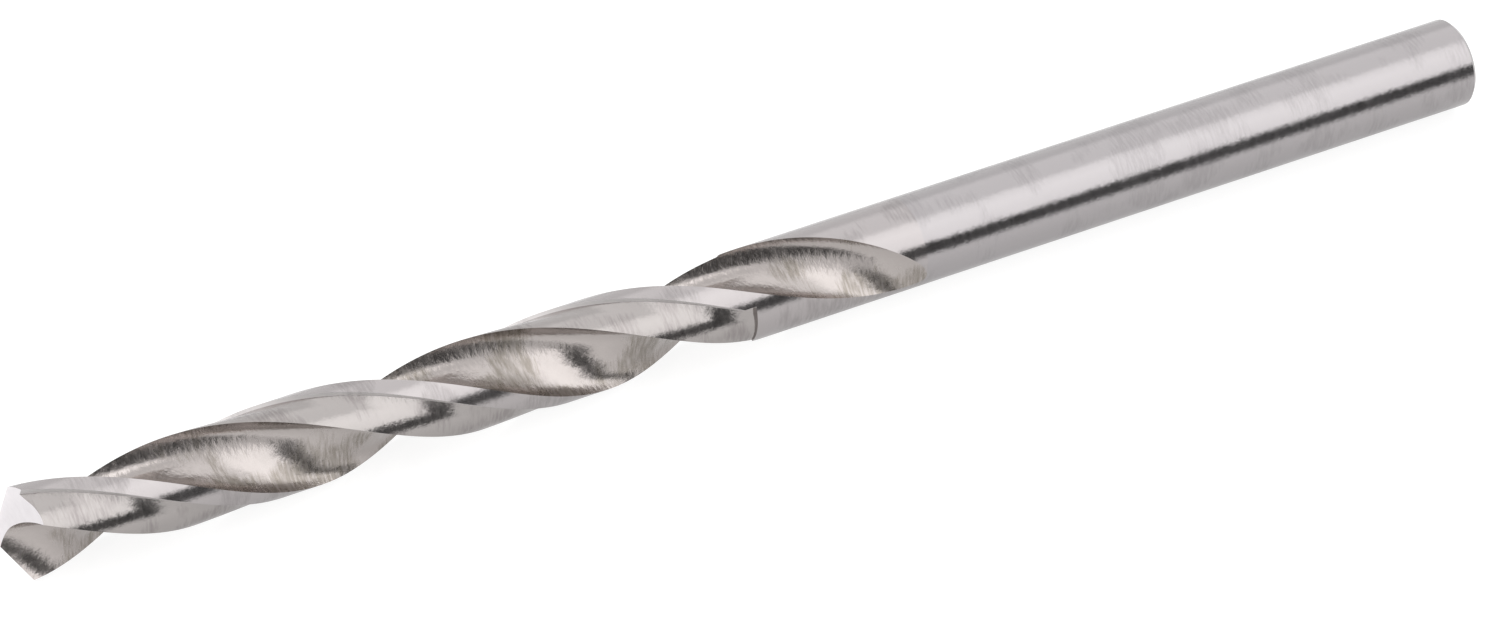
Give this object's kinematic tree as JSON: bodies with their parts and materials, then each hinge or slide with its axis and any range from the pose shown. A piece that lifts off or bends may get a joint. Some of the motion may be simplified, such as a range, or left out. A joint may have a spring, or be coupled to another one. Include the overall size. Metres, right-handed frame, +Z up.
{
  "type": "twist drill bit",
  "caption": "Jobber-length twist drill bit with two right-hand helical flutes, narrow margins, a ground point and a plain parallel shank.",
  "frame": {"origin": "on the table under the middle of the drill's length, where it lies", "axes": "+X along the drill's axis from the point to the shank end, +Z up"},
  "size_m": [0.08, 0.0044, 0.0045],
  "materials": {
    "ground_steel": "bright ground high-speed steel"
  },
  "bodies": {
    "root": {"twist_drill": "ground_steel"}
  },
  "joints": []
}
